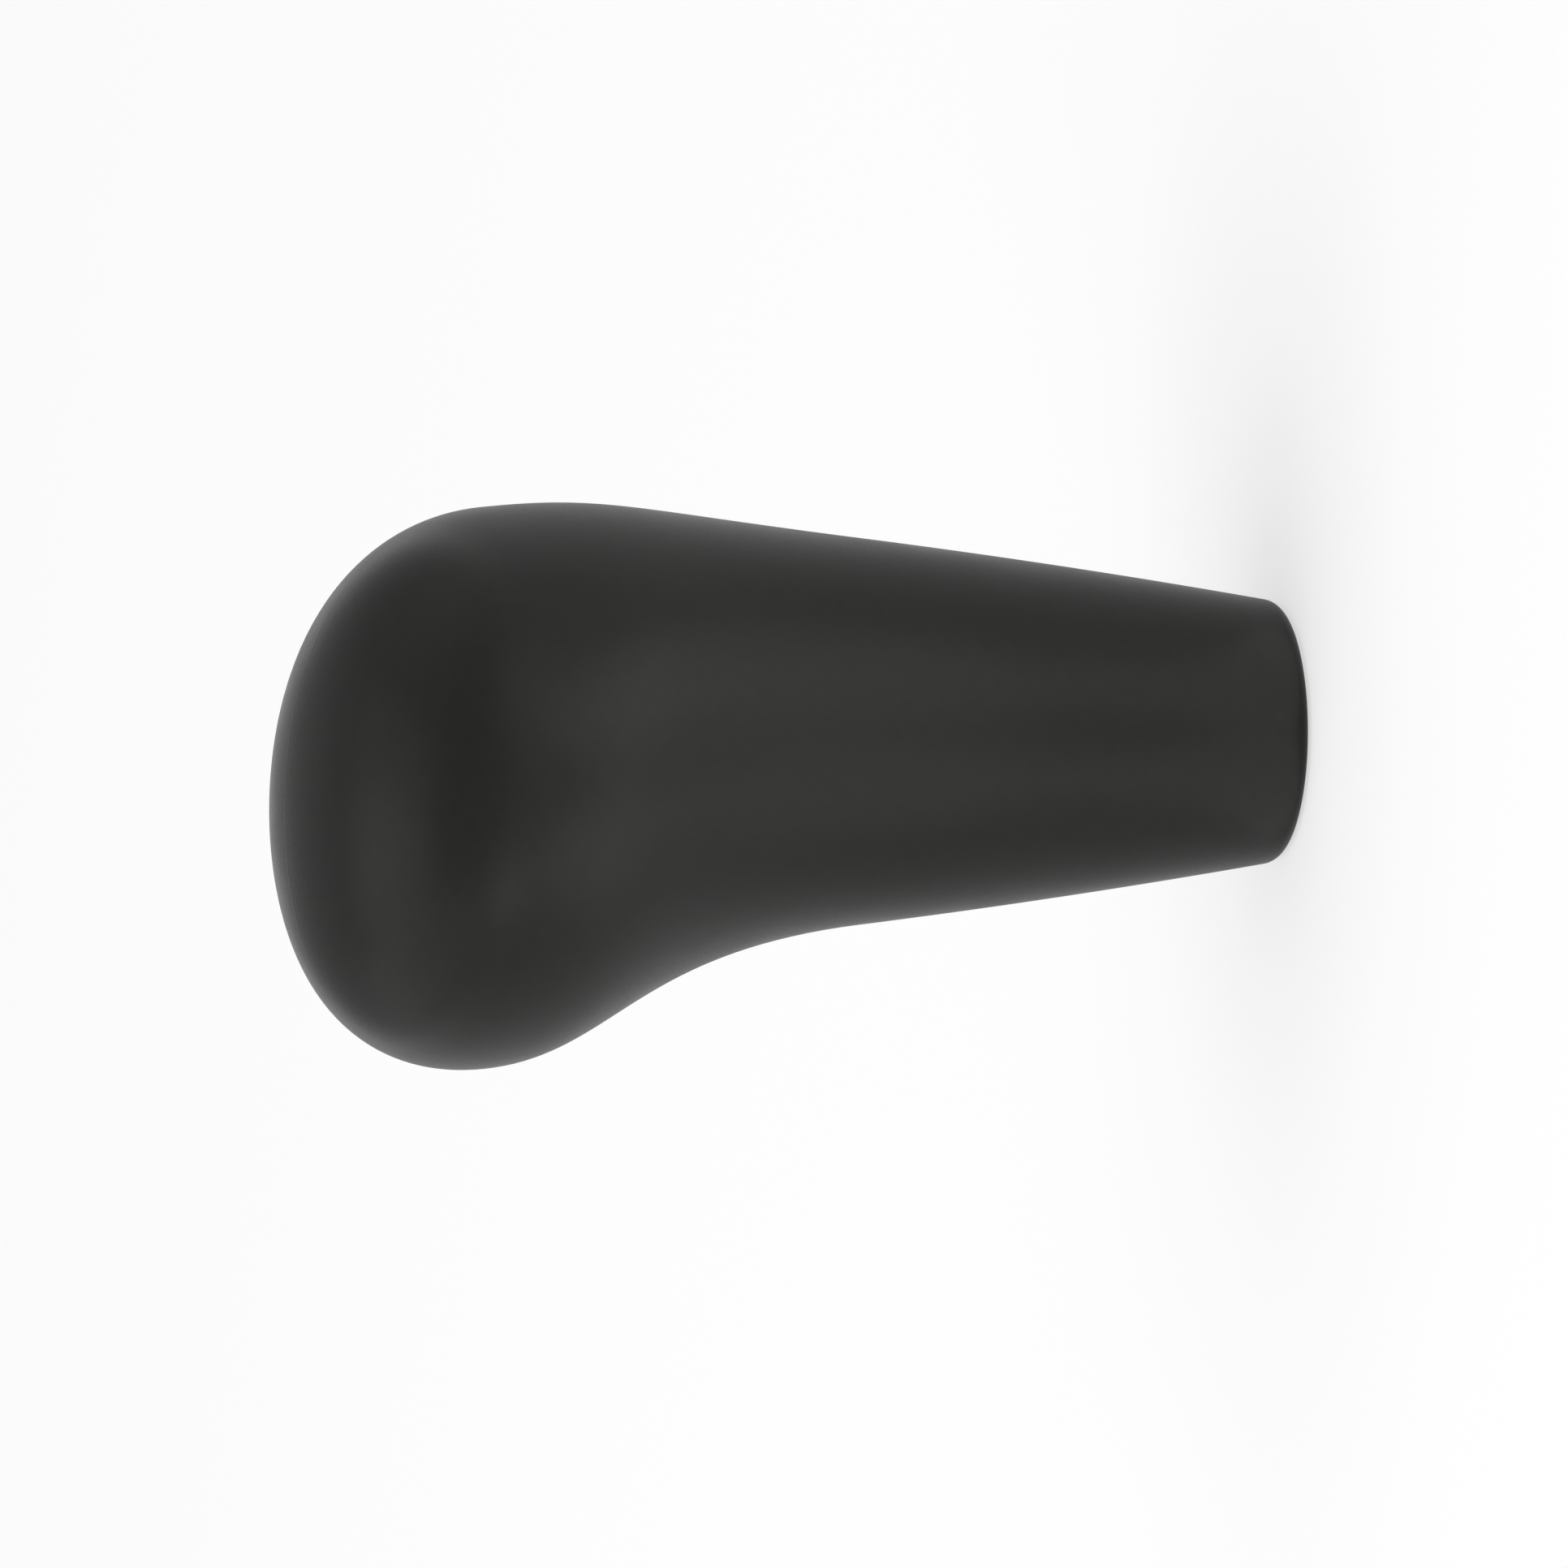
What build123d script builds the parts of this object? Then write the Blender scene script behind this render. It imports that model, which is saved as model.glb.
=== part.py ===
"""Palm-held clay shaper: a smooth rubber head and grip moulded over a bolted two-part core.

The tool stands on its flat end. Z is the axis of the round grip, from the flat end up to
the crown, and X points to the side where the head swells out. Lengths are millimetres.
"""

import math
import os

from build123d import *

os.makedirs("parts", exist_ok=True)

# Outside form: every section across Z is a circle, whose centre moves towards +X in the head
end_radius = 9.9  # flat end, before its edge is rounded
end_edge_radius = 1.3
taper_length = 33.0  # straight-axis part of the grip
taper_radius = 14.7  # at the upper end of the taper
taper_bow = 0.2  # how far the taper's side bows out from a straight line
neck_length = 29.5  # from the taper up to the belly, the widest section of the head
belly_radius = 21.3
belly_shift = 4.3
belly_lean = 0.1  # sideways run of the centres per millimetre of height, at the belly
dome_height = 15.4  # from the belly up to the crown
crown_shift = 6.1

# Pulls of the side curves, as shares of the height or radius that each curve spans
neck_pull = 0.62
belly_pull = 0.32
dome_pull = 0.53
crown_pull = 0.71

# Rubber skin and hollow core
skin_thickness = 2.5
core_wall = 2.2
core_end_wall = 6.0  # solid core between the insert and the cavity
rib_thickness = 1.8
rib_pitch = 14.0
rib_count = 3

# Threaded insert, held by its hexagon between the core halves
thread_radius = 3.4  # tapping size of an M8 thread
thread_depth = 14.0
insert_length = 16.0
insert_neck_radius = 5.5
insert_neck_length = 3.0
insert_across_flats = 12.0
insert_clearance = 0.05

# Screws along Y that pull the halves together: two in the grip and two across the head
low_screw_rise = 7.0  # above the cavity's floor
neck_screw_rise = 10.5  # above the taper
head_screw_drop = 4.5  # below the belly
head_screw_margin = 9.8  # in from the belly's side
screw_radius = 1.5
screw_length = 12.0
screw_head_radius = 2.8
screw_head_height = 2.0
screw_head_edge = 0.5
screw_seat = 3.0  # web of the bored half under each screw head
screw_slot_width = 0.8
screw_slot_depth = 1.1
thread_clearance = 0.05
shank_clearance = 0.2
head_clearance = 0.4
screw_tip_clearance = 0.6
boss_wall = 1.5

# Dowels of the tapped half: one above the insert and one under the crown
crown_dowel_drop = 9.5
dowel_radius = 1.6
dowel_length = 4.0
dowel_edge = 0.4
dowel_clearance = 0.05
dowel_end_clearance = 0.3

# Places worked out from the sizes above; screws and dowels as (x, z)
belly_height = taper_length + neck_length
tool_length = belly_height + dome_height
cavity_floor = insert_length + core_end_wall
rib_heights = [cavity_floor + rib_pitch * number for number in range(1, rib_count + 1)]
head_screw_spread = belly_radius - head_screw_margin  # each way from the belly's centre
screw_places = (
    (0.0, cavity_floor + low_screw_rise),
    (0.0, taper_length + neck_screw_rise),
    (belly_shift - head_screw_spread, belly_height - head_screw_drop),
    (belly_shift + head_screw_spread, belly_height - head_screw_drop),
)
dowel_places = (
    (0.0, insert_length + core_end_wall / 2),
    (crown_shift, tool_length - crown_dowel_drop),
)
counterbore_radius = screw_head_radius + head_clearance
screw_boss_radius = counterbore_radius + boss_wall
dowel_boss_radius = dowel_radius + dowel_clearance + boss_wall
reach = 2 * (belly_radius + belly_shift)  # longer than any half of the tool


def section_rows(inset):
    """Curve rows of (height, shift, radius) for the taper, the neck and the dome, inset."""
    foot = (0.0, 0.0, end_radius - inset)
    shoulder = (taper_length, 0.0, taper_radius - inset)
    widening = taper_radius - end_radius
    taper = [foot]
    for share in (1 / 3, 2 / 3):
        radius = foot[2] + widening * share + taper_bow * 4 / 3
        taper.append((taper_length * share, 0.0, radius))
    taper.append(shoulder)

    slope = (widening - 4 * taper_bow) / taper_length
    belly = (belly_height, belly_shift, belly_radius - inset)
    up, down = neck_pull * neck_length, belly_pull * neck_length
    neck = [
        shoulder,
        (taper_length + up, 0.0, shoulder[2] + slope * up),
        (belly_height - down, belly_shift - belly_lean * down, belly[2]),
        belly,
    ]

    crown_height = tool_length - inset
    rise = dome_pull * (crown_height - belly_height)
    dome = [
        belly,
        (belly_height + rise, belly_shift + belly_lean * rise, belly[2]),
        (crown_height, crown_shift, crown_pull * belly[2]),
        (crown_height, crown_shift, 0.0),
    ]
    return taper, neck, dome


def quarter_turn(rows, start_angle):
    """A quarter of the side surface whose sections are circles, from its curve rows."""
    half_turn = math.pi / 4
    middle_weight = math.cos(half_turn)
    corners = ((0, 1), (half_turn, 1 / middle_weight), (2 * half_turn, 1))
    points = []
    for height, shift, radius in rows:
        row = []
        for turn, stretch in corners:
            x = shift + radius * stretch * math.cos(start_angle + turn)
            row.append((x, radius * stretch * math.sin(start_angle + turn), height))
        points.append(row)
    weights = [[1, middle_weight, 1] for _ in rows]
    return Face.make_bezier_surface(points, weights)


def tool_form(inset):
    """The closed outside form of the tool, moved in by the inset; the flat end stays at Z 0."""
    sides = [
        quarter_turn(rows, quarter * math.pi / 2)
        for rows in section_rows(inset)
        for quarter in range(4)
    ]
    rim = ShapeList(sides).edges().filter_by_position(Axis.Z, -0.001, 0.001)
    return Solid(Shell([*sides, Face(Wire(rim))]))


outside = tool_form(0)
core_form = tool_form(skin_thickness)
cavity_form = tool_form(skin_thickness + core_wall)


def across(places, height):
    """Planes at (x, z) places whose Z points along +Y, set at a height above the split."""
    return [Plane((x, height, z), x_dir=(1, 0, 0), z_dir=(0, 1, 0)) for x, z in places]


def cylinders(places, radius, start, end, mode):
    """Round bars along Y between two heights above the split, at each (x, z) place."""
    for plane in across(places, start):
        with BuildSketch(plane) as bar_end:
            Circle(radius)
        extrude(bar_end.sketch, amount=end - start, mode=mode)


# Space inside the core: the cavity less its ribs and the bosses of screws and dowels
with BuildPart() as core_space:
    add(cavity_form)
    split(bisect_by=Plane.XY.offset(cavity_floor), keep=Keep.TOP)
    for rib_height in rib_heights:
        with BuildSketch(Plane.XY.offset(rib_height)):
            Circle(reach)
        extrude(amount=rib_thickness, mode=Mode.SUBTRACT)
    cylinders(screw_places, screw_boss_radius, -reach, reach, Mode.SUBTRACT)
    cylinders(dowel_places, dowel_boss_radius, -reach, reach, Mode.SUBTRACT)

# Pocket for the insert: a round mouth, then the hexagon
with BuildPart() as insert_pocket:
    with BuildSketch():
        Circle(insert_neck_radius + insert_clearance)
    extrude(amount=insert_neck_length)
    with BuildSketch(Plane.XY.offset(insert_neck_length)):
        flat = insert_across_flats / 2 + insert_clearance
        RegularPolygon(flat, 6, major_radius=False)
    extrude(amount=insert_length - insert_neck_length + insert_clearance)

# Core half on the -Y side, with the screw threads and the dowels
with BuildPart() as core_half_tapped:
    add(core_form)
    add(core_space.part, mode=Mode.SUBTRACT)
    add(insert_pocket.part, mode=Mode.SUBTRACT)
    split(bisect_by=Plane.XZ, keep=Keep.TOP)
    hole_end = screw_seat - screw_length - screw_tip_clearance
    cylinders(screw_places, screw_radius + thread_clearance, hole_end, 0, Mode.SUBTRACT)
    for dowel_plane in across(dowel_places, 0):
        with BuildSketch(dowel_plane):
            Circle(dowel_radius)
        extrude(amount=dowel_length)
    dowel_tips = core_half_tapped.edges().group_by(Axis.Y)[-1]
    chamfer(dowel_tips, dowel_edge)
core_half_tapped.part.label = "core_half_tapped"
export_step(core_half_tapped.part, "parts/core_half_tapped.step")

# Core half on the +Y side, with the counterbores and the dowel sockets
with BuildPart() as core_half_bored:
    add(core_form)
    add(core_space.part, mode=Mode.SUBTRACT)
    add(insert_pocket.part, mode=Mode.SUBTRACT)
    split(bisect_by=Plane.XZ, keep=Keep.BOTTOM)
    cylinders(screw_places, screw_radius + shank_clearance, 0, screw_seat, Mode.SUBTRACT)
    cylinders(screw_places, counterbore_radius, screw_seat, reach, Mode.SUBTRACT)
    socket_depth = dowel_length + dowel_end_clearance
    cylinders(dowel_places, dowel_radius + dowel_clearance, 0, socket_depth, Mode.SUBTRACT)
core_half_bored.part.label = "core_half_bored"
export_step(core_half_bored.part, "parts/core_half_bored.step")

# Rubber skin, which also fills each counterbore above its screw head
with BuildPart() as core_envelope:
    add(core_form)
    key_start = screw_seat + screw_head_height
    cylinders(screw_places, counterbore_radius, key_start, reach, Mode.SUBTRACT)

with BuildPart() as shaper_skin:
    add(outside)
    fillet(shaper_skin.edges().group_by(Axis.Z)[0], end_edge_radius)
    add(core_envelope.part, mode=Mode.SUBTRACT)
shaper_skin.part.label = "shaper_skin"
export_step(shaper_skin.part, "parts/shaper_skin.step")

# Brass insert: blind M8 thread, round neck at the flat end and a trapped hexagon
with BuildPart() as threaded_insert:
    with BuildSketch():
        Circle(insert_neck_radius)
    extrude(amount=insert_neck_length)
    with BuildSketch(Plane.XY.offset(insert_neck_length)):
        RegularPolygon(insert_across_flats / 2, 6, major_radius=False)
    extrude(amount=insert_length - insert_neck_length)
    with BuildSketch():
        Circle(thread_radius)
    extrude(amount=thread_depth, mode=Mode.SUBTRACT)
threaded_insert.part.label = "threaded_insert"
export_step(threaded_insert.part, "parts/threaded_insert.step")

# Thread-forming screws, heads on the +Y side
for number, (plane, tip_plane) in enumerate(
    zip(across(screw_places, screw_seat), across(screw_places, screw_seat - screw_length)), 1
):
    with BuildPart() as core_screw:
        with BuildSketch(tip_plane):
            Circle(screw_radius)
        extrude(amount=screw_length)
        with BuildSketch(plane):
            Circle(screw_head_radius)
        extrude(amount=screw_head_height)
        fillet(core_screw.edges().group_by(Axis.Y)[-1], screw_head_edge)
        slot_floor = plane.offset(screw_head_height - screw_slot_depth)
        with BuildSketch(slot_floor):
            Rectangle(2 * screw_radius, screw_slot_width)
            Rectangle(screw_slot_width, 2 * screw_radius)
        extrude(amount=screw_slot_depth, mode=Mode.SUBTRACT)
        chamfer(core_screw.edges().group_by(Axis.Y)[0], screw_radius / 3)
    core_screw.part.label = f"core_screw_{number}"
    export_step(core_screw.part, f"parts/core_screw_{number}.step")
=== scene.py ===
"""Looks of the palm-held clay shaper: finishes, cut thread, floor, studio light and camera.

Metres, in the frame of the CAD model: the tool stands on its flat end at Z 0, its grip along Z,
and its head swells out to +X.
"""

import math

import bmesh
import bpy
import numpy as np
from mathutils import Matrix, Vector


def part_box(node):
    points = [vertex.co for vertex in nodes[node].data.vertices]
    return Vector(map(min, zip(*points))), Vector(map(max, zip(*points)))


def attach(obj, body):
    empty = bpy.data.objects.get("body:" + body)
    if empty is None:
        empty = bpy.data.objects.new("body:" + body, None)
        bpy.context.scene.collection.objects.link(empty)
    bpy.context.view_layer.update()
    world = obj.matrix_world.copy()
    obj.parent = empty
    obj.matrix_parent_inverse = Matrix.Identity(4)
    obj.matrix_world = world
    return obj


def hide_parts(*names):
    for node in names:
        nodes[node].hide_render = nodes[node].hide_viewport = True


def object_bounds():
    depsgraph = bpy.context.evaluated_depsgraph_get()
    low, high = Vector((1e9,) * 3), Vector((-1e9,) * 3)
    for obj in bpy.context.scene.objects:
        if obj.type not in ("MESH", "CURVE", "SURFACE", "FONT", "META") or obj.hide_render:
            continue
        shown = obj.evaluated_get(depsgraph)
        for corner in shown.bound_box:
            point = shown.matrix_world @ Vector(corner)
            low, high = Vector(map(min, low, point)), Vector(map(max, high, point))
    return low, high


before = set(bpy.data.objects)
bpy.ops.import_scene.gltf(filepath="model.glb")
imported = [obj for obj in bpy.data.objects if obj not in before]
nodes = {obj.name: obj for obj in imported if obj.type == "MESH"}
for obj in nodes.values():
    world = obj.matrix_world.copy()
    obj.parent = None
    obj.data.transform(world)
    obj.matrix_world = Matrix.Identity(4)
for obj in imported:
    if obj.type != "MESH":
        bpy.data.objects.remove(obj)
cad_low, cad_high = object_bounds()
scene = bpy.context.scene

mm = 0.001

# Outside form, as in the CAD model: circles across Z, whose centres move towards +X in the head
end_radius = 9.9 * mm
end_edge_radius = 1.3 * mm
taper_length = 33.0 * mm
taper_radius = 14.7 * mm
taper_bow = 0.2 * mm
neck_length = 29.5 * mm
belly_radius = 21.3 * mm
belly_shift = 4.3 * mm
belly_lean = 0.1
dome_height = 15.4 * mm
crown_shift = 6.1 * mm
neck_pull = 0.62
belly_pull = 0.32
dome_pull = 0.53
crown_pull = 0.71

# Rubber skin
skin_thickness = 2.5 * mm
skin_inner_edge = 0.15 * mm  # chamfer where the skin ends round the core
skin_flat_margin = 0.15 * mm  # flat of the end face kept inside its rounded edge
core_overlap = 1.0 * mm  # how far the form that hollows out the skin reaches below the flat end
screw_head_clearance = 0.4 * mm  # of the counterbores, which the skin fills above the screws
skin_columns = 192
core_columns = 96
curve_steps = 36  # sections along each of the form's three curves
edge_steps = 10  # along the rounded edge of the flat end

# Insert, whose bore has a cut M8 thread
thread_pitch = 1.25 * mm
thread_crest = 3.4 * mm  # radius, the bore of the CAD insert
thread_root = 4.0 * mm
thread_depth = 14.0 * mm
thread_lead_in = 0.15 * mm  # how far the mouth's countersink is wider than the thread's root
thread_profile = ((0, 0), (0.25, 0), (0.5625, 1), (0.6875, 1), (1, 0))  # share of pitch, depth
thread_rows = 16  # to a pitch, so that rows fall on the corners of the profile
insert_neck_radius = 5.5 * mm
insert_neck_length = 3.0 * mm
insert_edge = 0.3 * mm  # chamfer of the insert's outer edges
insert_columns = 96  # a multiple of 6, so that the hexagon's corners fall on columns
weld_distance = 0.0001 * mm
sharp_angle = math.radians(25)

# Finishes
noise_span = (0.35, 0.7)  # most values of a noise lie between these
wide_span = (0.3, 0.7)
rubbed_heights = (35 * mm, 62 * mm)  # over which the rubber grows smoother towards the head
mould_line_span = (0.03 * mm, 0.16 * mm)  # from the plane of symmetry, over which it falls away
core_joint_span = (0.02 * mm, 0.12 * mm)
lathe_pitch = 0.12 * mm

# Camera, on the +Y side and rolled so that the grip points right
camera_tilt = math.radians(15)
camera_target = Vector((4.0, 0, 38.8)) * mm
camera_width = 119.04 * mm  # width of the view at the target
camera_lens = 1000
camera_sensor = 36

# Softboxes: azimuth from +Y towards +X, elevation, distance, width, height and brightness
softboxes = {
    "overhead": (0, 90, 1.2, 1.2, 1.2, 0.85),
    "high_right": (90, 70, 1.2, 1.0, 1.0, 1.1),
    "side_right": (90, 35, 0.8, 1.2, 0.5, 1.05),
    "side_left": (-90, 35, 0.8, 0.6, 0.6, 0.6),
    "front_right": (40, 7, 0.5, 0.18, 0.14, 3.0),
    "front_left": (-40, 7, 0.5, 0.18, 0.14, 1.5),
}
# Light strips that lie on the floor, face up: azimuth, start and end from the axis, width, level
floor_strips = {
    "near_right": (28, 10.5 * mm, 60 * mm, 18 * mm, 0.9),
    "near_left": (-28, 10.5 * mm, 60 * mm, 18 * mm, 0.9),
    "far_right": (28, 60 * mm, 320 * mm, 80 * mm, 1.8),
    "far_left": (-28, 60 * mm, 320 * mm, 80 * mm, 2.1),
}
floor_size = 12
floor_colour = (0.93, 0.93, 0.93)
sky_level = 0.46  # of the world away from the horizon
horizon_level = 1.75
horizon_fade = 0.24  # sine of the elevation at which the pale horizon has faded out
floor_glow = 0.6  # share of plain white in the floor as the camera and reflections see it
strip_height = 0.1 * mm
floor_gap = 0.05 * mm  # below the flat end, so that the two don't flicker where they meet


# Material helpers --------------------------------------------------------------------------


def new_material(name, colour, roughness, metallic=0.0):
    """A node material with these constants set on its Principled shader."""
    material = bpy.data.materials.new(name)
    material.use_nodes = True
    tree = material.node_tree
    shader = tree.nodes["Principled BSDF"]
    shader.inputs["Base Color"].default_value = (*colour, 1)
    shader.inputs["Roughness"].default_value = roughness
    shader.inputs["Metallic"].default_value = metallic
    return material, tree, shader


def math_node(tree, operation, first, second=None):
    """One Math node; its inputs are numbers or the outputs of other nodes."""
    node = tree.nodes.new("ShaderNodeMath")
    node.operation = operation
    for socket, value in zip(node.inputs, (first, second)):
        if isinstance(value, bpy.types.NodeSocket):
            tree.links.new(value, socket)
        elif value is not None:
            socket.default_value = value
    return node.outputs["Value"]


def place(tree):
    """The X, Y and Z outputs of the object's own coordinates, and the vector itself."""
    coordinates = tree.nodes.new("ShaderNodeTexCoord").outputs["Object"]
    split = tree.nodes.new("ShaderNodeSeparateXYZ")
    tree.links.new(coordinates, split.inputs["Vector"])
    return (*split.outputs, coordinates)


def noise(tree, coordinates, grain, detail=2.0):
    """Noise from 0 to 1 whose grains are about as wide as the given length."""
    node = tree.nodes.new("ShaderNodeTexNoise")
    node.inputs["Scale"].default_value = 1 / grain
    node.inputs["Detail"].default_value = detail
    tree.links.new(coordinates, node.inputs["Vector"])
    return node.outputs["Fac"]


def remap(tree, value, low, high, start=0.0, end=1.0):
    """Maps a value that runs from start to end smoothly to one from low to high."""
    node = tree.nodes.new("ShaderNodeMapRange")
    node.interpolation_type = "SMOOTHSTEP"
    node.inputs["From Min"].default_value = start
    node.inputs["From Max"].default_value = end
    node.inputs["To Min"].default_value = low
    node.inputs["To Max"].default_value = high
    tree.links.new(value, node.inputs["Value"])
    return node.outputs["Result"]


def tint(tree, shader, value, dark, light):
    """Base colour that runs between two colours with the value."""
    node = tree.nodes.new("ShaderNodeMix")
    node.data_type = "RGBA"
    node.inputs["A"].default_value = (*dark, 1)
    node.inputs["B"].default_value = (*light, 1)
    tree.links.new(value, node.inputs["Factor"])
    tree.links.new(node.outputs["Result"], shader.inputs["Base Color"])


def bump(tree, shader, layers):
    """Bumps of real depth in metres, each laid over the one before."""
    normal = None
    for height, depth in layers:
        node = tree.nodes.new("ShaderNodeBump")
        node.inputs["Distance"].default_value = depth
        tree.links.new(height, node.inputs["Height"])
        if normal:
            tree.links.new(normal, node.inputs["Normal"])
        normal = node.outputs["Normal"]
    tree.links.new(normal, shader.inputs["Normal"])


# Materials ---------------------------------------------------------------------------------


def satin_rubber():
    """Black moulded rubber: fine mould grain, soft unevenness, a palm-rubbed head, a mould line."""
    material, tree, shader = new_material("satin_black_rubber", (0.012, 0.012, 0.012), 0.4)
    shader.inputs["Specular IOR Level"].default_value = 0.125
    _, y, z, coordinates = place(tree)
    cloud = noise(tree, coordinates, 9 * mm)
    mottle = noise(tree, coordinates, 1.2 * mm, 4.0)
    grain = noise(tree, coordinates, 0.22 * mm, 3.0)

    shade = math_node(tree, "ADD", math_node(tree, "MULTIPLY", cloud, 0.6), mottle)
    shade = remap(tree, shade, 0, 1, 0.4, 1.2)
    tint(tree, shader, shade, (0.0112, 0.011, 0.0105), (0.0129, 0.0126, 0.012))

    rubbed = remap(tree, z, 0.0, -0.02, *rubbed_heights)
    roughness = math_node(tree, "ADD", remap(tree, cloud, 0.38, 0.42, *wide_span), rubbed)
    roughness = math_node(tree, "ADD", roughness, remap(tree, grain, -0.02, 0.02, *wide_span))
    tree.links.new(roughness, shader.inputs["Roughness"])

    side = math_node(tree, "ABSOLUTE", y)
    mould_line = remap(tree, side, 1, 0, *mould_line_span)
    waves = noise(tree, coordinates, 14 * mm, 1.0)
    bump(tree, shader, [(waves, 0.06 * mm), (grain, 0.006 * mm), (mould_line, 0.012 * mm)])
    return material


def moulded_nylon():
    """Dark glass-filled nylon of the core halves: faint speckle, and a fine groove at the joint."""
    material, tree, shader = new_material("dark_glass_filled_nylon", (0.03, 0.03, 0.032), 0.6)
    _, y, _, coordinates = place(tree)
    speckle = noise(tree, coordinates, 0.35 * mm, 3.0)
    flow = noise(tree, coordinates, 7 * mm)
    shade = remap(tree, speckle, 0, 1, *noise_span)
    tint(tree, shader, shade, (0.022, 0.022, 0.024), (0.04, 0.04, 0.042))
    tree.links.new(remap(tree, flow, 0.52, 0.68, *wide_span), shader.inputs["Roughness"])
    joint = remap(tree, math_node(tree, "ABSOLUTE", y), 0, 1, *core_joint_span)
    bump(tree, shader, [(speckle, 0.01 * mm), (joint, 0.06 * mm)])
    return material


def turned_brass():
    """Brass with lathe rings about the tool's axis and a light tarnish."""
    material, tree, shader = new_material("turned_brass", (0.72, 0.5, 0.22), 0.3, 1.0)
    x, y, _, coordinates = place(tree)
    tarnish = noise(tree, coordinates, 2.5 * mm, 4.0)
    shade = remap(tree, tarnish, 0, 1, *noise_span)
    tint(tree, shader, shade, (0.6, 0.4, 0.17), (0.78, 0.56, 0.27))
    tree.links.new(remap(tree, tarnish, 0.4, 0.24, *noise_span), shader.inputs["Roughness"])
    squares = [math_node(tree, "MULTIPLY", side, side) for side in (x, y)]
    radius = math_node(tree, "SQRT", math_node(tree, "ADD", *squares))
    rings = math_node(tree, "SINE", math_node(tree, "MULTIPLY", radius, 2 * math.pi / lathe_pitch))
    bump(tree, shader, [(rings, 0.0015 * mm)])
    return material


def plated_steel():
    """Zinc-plated steel of the screws, slightly spangled."""
    material, tree, shader = new_material("zinc_plated_steel", (0.5, 0.51, 0.53), 0.35, 1.0)
    *_, coordinates = place(tree)
    spangle = noise(tree, coordinates, 0.8 * mm, 4.0)
    shade = remap(tree, spangle, 0, 1, *noise_span)
    tint(tree, shader, shade, (0.42, 0.43, 0.46), (0.58, 0.59, 0.6))
    tree.links.new(remap(tree, spangle, 0.3, 0.42, *noise_span), shader.inputs["Roughness"])
    bump(tree, shader, [(spangle, 0.004 * mm)])
    return material


# Meshes ------------------------------------------------------------------------------------


def ring(mesh, places, shift=0):
    """Points round Z at even angles, from the (radius, height) of each, shifted along X."""
    points = []
    for column, (radius, height) in enumerate(places):
        angle = 2 * math.pi * column / len(places)
        across = (shift + radius * math.cos(angle), radius * math.sin(angle))
        points.append(mesh.verts.new((*across, height)))
    return points


def level_ring(mesh, radius, height, shift=0, columns=insert_columns):
    """A ring of one radius and height."""
    return ring(mesh, [(radius, height)] * columns, shift)


def join_rings(mesh, rings):
    """Faces from each ring to the next."""
    for lower, upper in zip(rings, rings[1:]):
        for column in range(len(lower)):
            after = (column + 1) % len(lower)
            mesh.faces.new((lower[column], lower[after], upper[after], upper[column]))


def finish_mesh(mesh, name):
    """Welds the rings that meet and makes an object of the mesh."""
    bmesh.ops.remove_doubles(mesh, verts=mesh.verts, dist=weld_distance)
    bmesh.ops.recalc_face_normals(mesh, faces=mesh.faces)
    data = bpy.data.meshes.new(name)
    mesh.to_mesh(data)
    mesh.free()
    piece = bpy.data.objects.new(name, data)
    scene.collection.objects.link(piece)
    return piece


def smooth(piece):
    """Smooth faces between sharp edges."""
    piece.data.polygons.foreach_set("use_smooth", [True] * len(piece.data.polygons))
    piece.data.set_sharp_from_angle(angle=sharp_angle)


def cut(piece, tool):
    """Takes one object away from another and deletes it."""
    boolean = piece.modifiers.new("cut", "BOOLEAN")
    boolean.operation = "DIFFERENCE"
    boolean.solver = "EXACT"
    boolean.object = tool
    view = bpy.context.evaluated_depsgraph_get()
    result = bpy.data.meshes.new_from_object(piece.evaluated_get(view))
    piece.modifiers.remove(boolean)
    piece.data = result
    bpy.data.objects.remove(tool)


# Rubber skin -------------------------------------------------------------------------------


def form_curves(inset):
    """Control rows (height, shift, radius) of the taper, the neck and the dome, moved in."""
    widening = taper_radius - end_radius
    taper = [(0, 0, end_radius - inset)]
    for share in (1 / 3, 2 / 3):
        radius = end_radius - inset + widening * share + taper_bow * 4 / 3
        taper.append((taper_length * share, 0, radius))
    shoulder = (taper_length, 0, taper_radius - inset)

    slope = (widening - 4 * taper_bow) / taper_length
    belly_height = taper_length + neck_length
    radius = belly_radius - inset
    belly = (belly_height, belly_shift, radius)
    up, down = neck_pull * neck_length, belly_pull * neck_length
    neck = [
        shoulder,
        (taper_length + up, 0, shoulder[2] + slope * up),
        (belly_height - down, belly_shift - belly_lean * down, radius),
        belly,
    ]

    crown = belly_height + dome_height - inset
    rise = dome_pull * (crown - belly_height)
    dome = [
        belly,
        (belly_height + rise, belly_shift + belly_lean * rise, radius),
        (crown, crown_shift, crown_pull * radius),
        (crown, crown_shift, 0),
    ]
    return [*taper, shoulder], neck, dome


def form_sections(inset):
    """(height, shift, radius) of sections from the flat end to the crown."""
    sections = []
    for curve in form_curves(inset):
        first, second, third, last = (np.array(row) for row in curve)
        for step in range(curve_steps):
            share = step / curve_steps
            rest = 1 - share
            middle = 3 * share * rest * (rest * second + share * third)
            sections.append(rest**3 * first + middle + share**3 * last)
    sections.append(last)
    return sections


def form_mesh(start, sections, columns):
    """Closed mesh through the sections of a start and of the form above it."""
    mesh = bmesh.new()
    above = [section for section in sections if section[0] > start[-1][0]]
    rings = [
        level_ring(mesh, radius, height, shift, columns)
        for height, shift, radius in [*start, *above]
    ]
    join_rings(mesh, rings)
    mesh.faces.new(rings[0])
    return mesh


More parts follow.
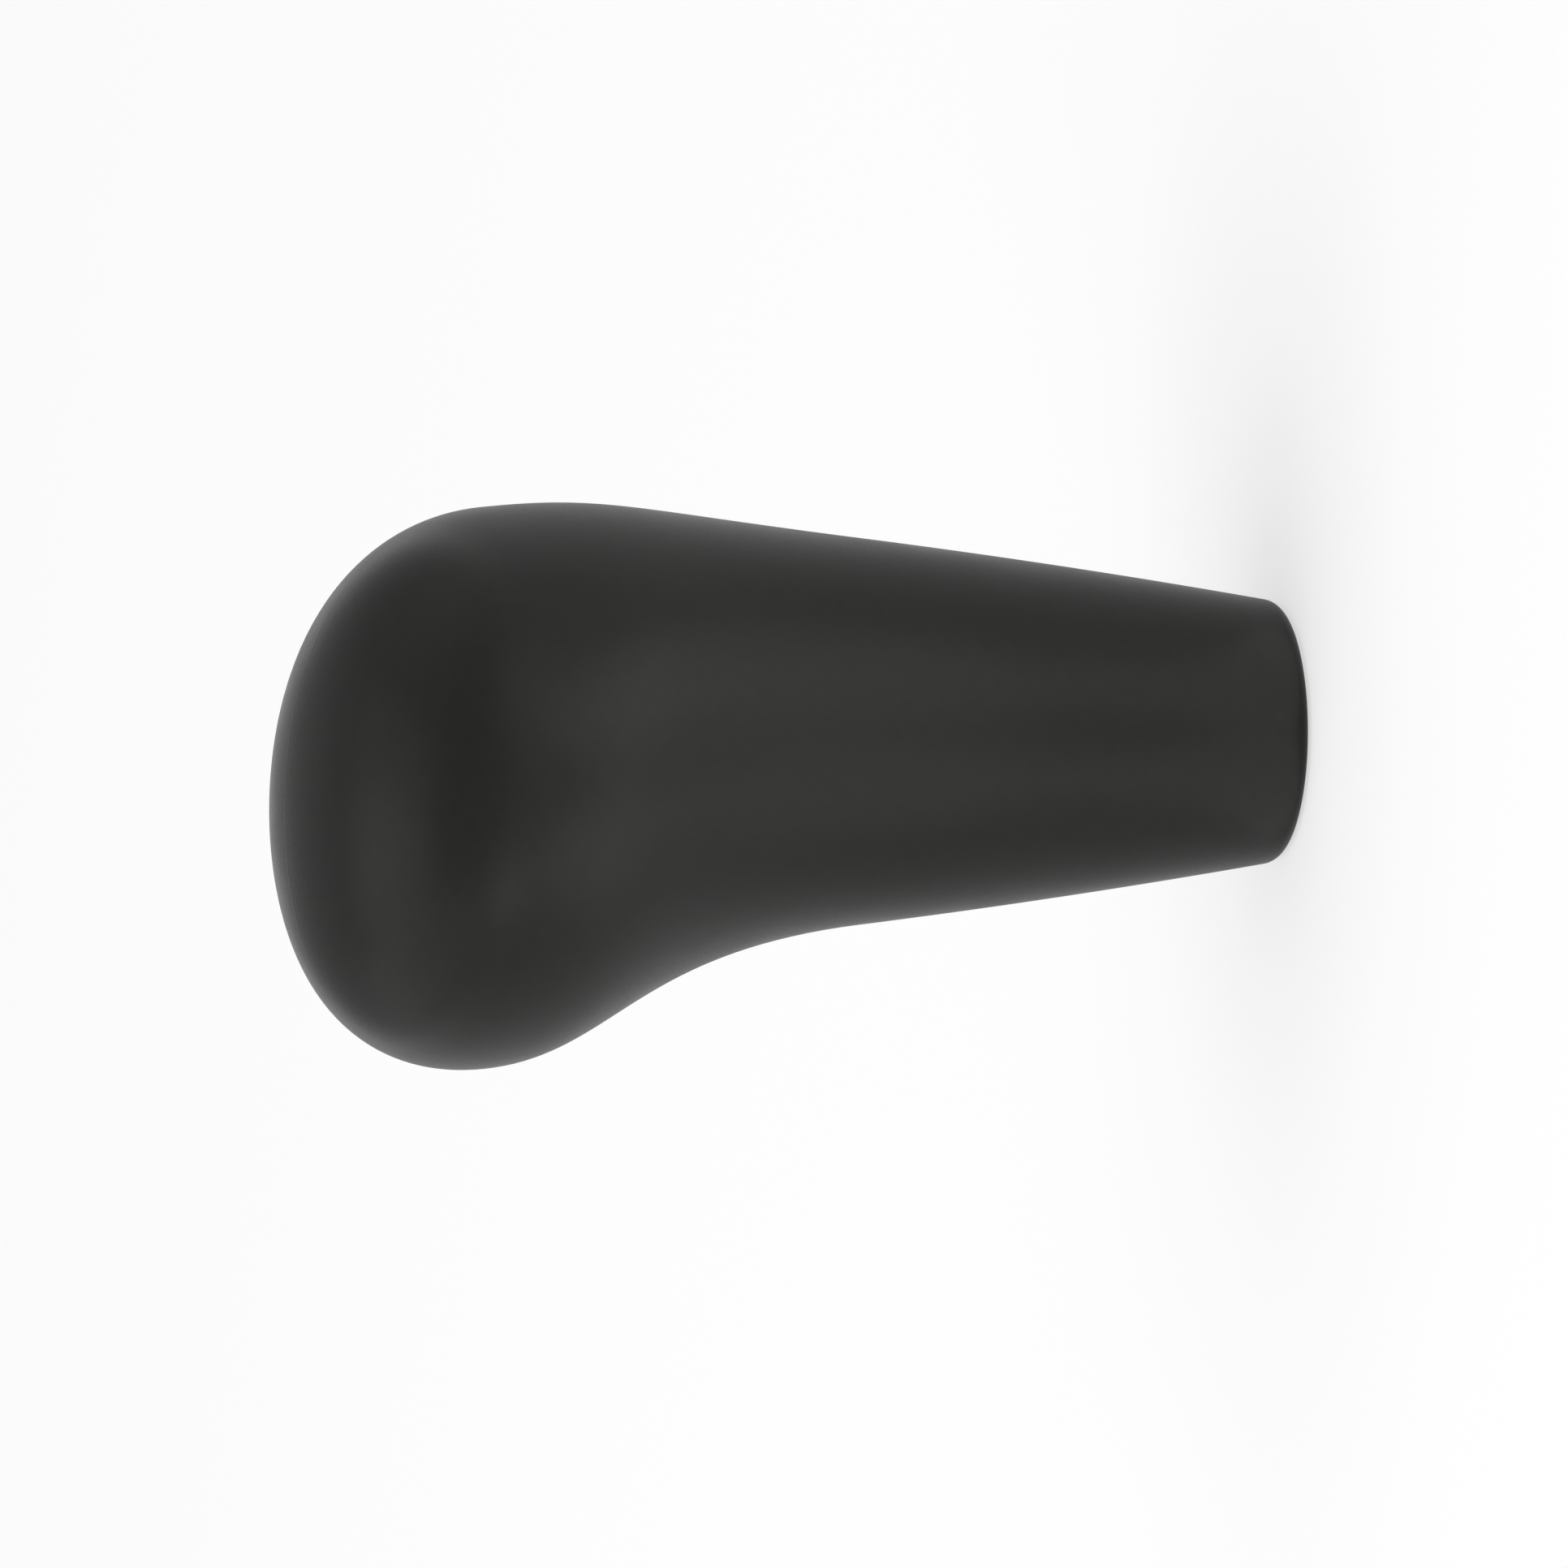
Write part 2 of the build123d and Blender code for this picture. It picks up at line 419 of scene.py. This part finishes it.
def end_edge():
    """Sections of the flat end's rim and its rounded edge."""
    foot, next_row = form_curves(0)[0][:2]
    lean = math.atan((next_row[2] - foot[2]) / (next_row[0] - foot[0]))
    centre = end_radius + end_edge_radius * (math.tan(lean) - 1 / math.cos(lean))
    sections = [(0, 0, centre - skin_flat_margin)]
    for step in range(edge_steps + 1):
        angle = (math.pi / 2 - lean) * step / edge_steps
        height = end_edge_radius * (1 - math.cos(angle))
        sections.append((height, 0, centre + end_edge_radius * math.sin(angle)))
    return sections


def rubber_skin():
    """The skin: the outside form less the core with its filled counterbores."""
    outside = finish_mesh(form_mesh(end_edge(), form_sections(0), skin_columns), "rubber_skin")
    core_sections = form_sections(skin_thickness)
    core_radius = core_sections[0][2]
    mouth = core_radius + skin_inner_edge
    start = [(-core_overlap, 0, mouth), (0, 0, mouth), (skin_inner_edge, 0, core_radius)]
    core = finish_mesh(form_mesh(start, core_sections, core_columns), "core_form")
    cut(core, screw_keys())
    cut(outside, core)
    smooth(outside)
    return outside


def screw_keys():
    """Round bars along Y, from each screw's head out through the skin."""
    mesh = bmesh.new()
    for name in nodes:
        if name.startswith("core_screw"):
            low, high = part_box(name)
            middle = (low + high) / 2
            radius = (high.x - low.x) / 2 + screw_head_clearance
            ends = [level_ring(mesh, radius, height) for height in (high.y, 2 * belly_radius)]
            join_rings(mesh, ends)
            for end in ends:
                mesh.faces.new(end)
            stand = Matrix.Rotation(math.radians(-90), 4, "X")
            seat = Matrix.Translation((middle.x, 0, middle.z)) @ stand
            bmesh.ops.transform(mesh, matrix=seat, verts=[*ends[0], *ends[1]])
    return finish_mesh(mesh, "screw_keys")


# Threaded insert ---------------------------------------------------------------------------


def thread_radius(phase, height):
    """Radius of the thread at a share of its pitch, with a countersunk mouth and a run-out."""
    depth = np.interp(phase, *zip(*thread_profile))
    run_out = min((thread_depth - height) / thread_pitch, 1)
    radius = thread_crest + (thread_root - thread_crest) * depth * run_out
    return max(radius, thread_root + thread_lead_in - height)


def cut_thread(mesh):
    """Wall of the threaded bore: rows of points that climb with the helix, clipped at both ends."""
    turns = math.ceil(thread_depth / thread_pitch) + 1
    rows = []
    for row in range(turns * thread_rows + 1):
        places = []
        for column in range(insert_columns):
            turn = row / thread_rows - 1 + column / insert_columns
            height = min(max(turn * thread_pitch, 0), thread_depth)
            places.append((thread_radius(row / thread_rows % 1, height), height))
        rows.append(ring(mesh, places))
    last = insert_columns - 1
    for row in range(len(rows) - 1):
        lower, upper = rows[row], rows[row + 1]
        for column in range(last):
            mesh.faces.new((lower[column], lower[column + 1], upper[column + 1], upper[column]))
        if row + 1 + thread_rows < len(rows):
            lower_next, upper_next = rows[row + thread_rows], rows[row + 1 + thread_rows]
            mesh.faces.new((lower[last], lower_next[0], upper_next[0], upper[last]))


def threaded_insert():
    """Brass insert with a cut thread, a turned neck and a hexagon with chamfered corners."""
    _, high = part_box("threaded_insert")
    flat_radius = high.y
    chamfer_radius = flat_radius - insert_edge
    corners = []
    for column in range(insert_columns):
        turn = 2 * math.pi * column / insert_columns % (math.pi / 3) - math.pi / 6
        radius = flat_radius / math.cos(turn)
        corners.append((radius, (radius - chamfer_radius) * math.tan(math.radians(30))))

    mesh = bmesh.new()
    cut_thread(mesh)
    outside = [
        level_ring(mesh, thread_root + thread_lead_in, 0),
        level_ring(mesh, insert_neck_radius - insert_edge, 0),
        level_ring(mesh, insert_neck_radius, insert_edge),
        level_ring(mesh, insert_neck_radius, insert_neck_length),
        level_ring(mesh, chamfer_radius, insert_neck_length),
        ring(mesh, [(radius, insert_neck_length + drop) for radius, drop in corners]),
        ring(mesh, [(radius, high.z - drop) for radius, drop in corners]),
        level_ring(mesh, chamfer_radius, high.z),
    ]
    join_rings(mesh, outside)
    mesh.faces.new(outside[-1])
    mesh.faces.new(level_ring(mesh, thread_crest, thread_depth))
    insert = finish_mesh(mesh, "insert_m8")
    smooth(insert)
    return insert


# Stage -------------------------------------------------------------------------------------


def seen_directly(tree):
    """1 on camera, glossy and transmission rays, and 0 on the rays that light things."""
    path = tree.nodes.new("ShaderNodeLightPath")
    either = math_node(tree, "MAXIMUM", path.outputs["Is Camera Ray"], path.outputs["Is Glossy Ray"])
    return math_node(tree, "MAXIMUM", either, path.outputs["Is Transmission Ray"])


def add_floor():
    """Wide pale floor under the flat end, which can't be seen from below."""
    bpy.ops.mesh.primitive_plane_add(size=floor_size, location=(0, 0, -floor_gap))
    floor = bpy.context.object
    floor.name = "floor"
    material, tree, shader = new_material("pale_floor", floor_colour, 1.0)
    shader.inputs["Specular IOR Level"].default_value = 0.0
    white = tree.nodes.new("ShaderNodeEmission")
    glow = tree.nodes.new("ShaderNodeMixShader")
    share = math_node(tree, "MULTIPLY", seen_directly(tree), floor_glow)
    tree.links.new(share, glow.inputs["Fac"])
    tree.links.new(shader.outputs["BSDF"], glow.inputs[1])
    tree.links.new(white.outputs["Emission"], glow.inputs[2])

    from_below = tree.nodes.new("ShaderNodeNewGeometry").outputs["Backfacing"]
    clear = tree.nodes.new("ShaderNodeBsdfTransparent")
    side = tree.nodes.new("ShaderNodeMixShader")
    tree.links.new(from_below, side.inputs["Fac"])
    tree.links.new(glow.outputs["Shader"], side.inputs[1])
    tree.links.new(clear.outputs["BSDF"], side.inputs[2])
    tree.links.new(side.outputs["Shader"], tree.nodes["Material Output"].inputs["Surface"])
    floor.data.materials.append(material)


def add_world():
    """Even pale sky that is whiter towards the horizon."""
    world = bpy.data.worlds.new("studio")
    world.use_nodes = True
    tree = world.node_tree
    background = tree.nodes["Background"]
    background.inputs["Color"].default_value = (1, 1, 1, 1)
    rise = math_node(tree, "ABSOLUTE", view_rise(tree))
    level = remap(tree, rise, horizon_level, sky_level, 0, horizon_fade)
    tree.links.new(level, background.inputs["Strength"])
    scene.world = world


def view_rise(tree):
    """Z of the direction in which the world is seen."""
    split = tree.nodes.new("ShaderNodeSeparateXYZ")
    tree.links.new(tree.nodes.new("ShaderNodeTexCoord").outputs["Generated"], split.inputs["Vector"])
    return split.outputs["Z"]


def aim(back, up):
    """Rotation of a camera or lamp that looks against back."""
    right = up.cross(back).normalized()
    return Matrix((right, back.cross(right), back)).transposed().to_4x4()


def add_lamp(name, centre, back, up, width, height, level):
    """An area lamp of a brightness, 1 being white; it shines away from back."""
    lamp = bpy.data.lights.new(name, "AREA")
    lamp.shape = "RECTANGLE"
    lamp.size, lamp.size_y = width, height
    lamp.energy = level * math.pi * width * height
    light = bpy.data.objects.new(name, lamp)
    light.matrix_world = Matrix.Translation(centre) @ aim(back, up)
    light.visible_camera = False
    scene.collection.objects.link(light)


def add_lamps():
    """Softboxes aimed at the middle of the tool, and the strips on the floor."""
    middle = (cad_low + cad_high) / 2
    upward = Vector((0, 0, 1))
    for name, (azimuth, elevation, distance, width, height, level) in softboxes.items():
        rise = math.radians(elevation)
        outward = facing(azimuth)
        back = outward * math.cos(rise) + upward * math.sin(rise)
        up = upward * math.cos(rise) - outward * math.sin(rise)
        add_lamp(name, middle + back * distance, back, up, width, height, level)
    for name, (azimuth, start, end, width, level) in floor_strips.items():
        outward = facing(azimuth)
        centre = outward * (start + end) / 2 + upward * strip_height
        add_lamp(name, centre, -upward, outward, width, end - start, level)


def facing(azimuth):
    """Level direction at an azimuth in degrees from +Y towards +X."""
    turn = math.radians(azimuth)
    return Vector((math.sin(turn), math.cos(turn), 0))


def add_camera():
    """A long lens that sees the tool's side from a little above, rolled to lay the tool down."""
    back = Vector((0, math.cos(camera_tilt), math.sin(camera_tilt)))
    lens = bpy.data.cameras.new("camera")
    lens.lens = camera_lens
    lens.sensor_width = camera_sensor
    distance = camera_width * camera_lens / camera_sensor
    lens.clip_start = distance / 10
    lens.clip_end = distance * 10
    camera = bpy.data.objects.new("camera", lens)
    up = Vector((-1, 0, 0))
    camera.matrix_world = Matrix.Translation(camera_target + back * distance) @ aim(back, up)
    scene.collection.objects.link(camera)
    scene.camera = camera


# The dressed tool ----------------------------------------------------------------------------

finishes = {
    "shaper_skin": satin_rubber(),
    "core_half": moulded_nylon(),
    "threaded_insert": turned_brass(),
    "core_screw": plated_steel(),
}
for node_name, node in nodes.items():
    for start, finish in finishes.items():
        if node_name.startswith(start):
            node.material_slots[0].material = finish

for piece, node_name, slot in (
    (rubber_skin(), "shaper_skin", "skin"),
    (threaded_insert(), "threaded_insert", "insert"),
):
    piece.data.materials.clear()
    piece.data.materials.append(finishes[node_name])
    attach(piece, "root")
    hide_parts(node_name)

add_floor()
add_world()
add_lamps()
add_camera()
scene.view_settings.view_transform = "Standard"
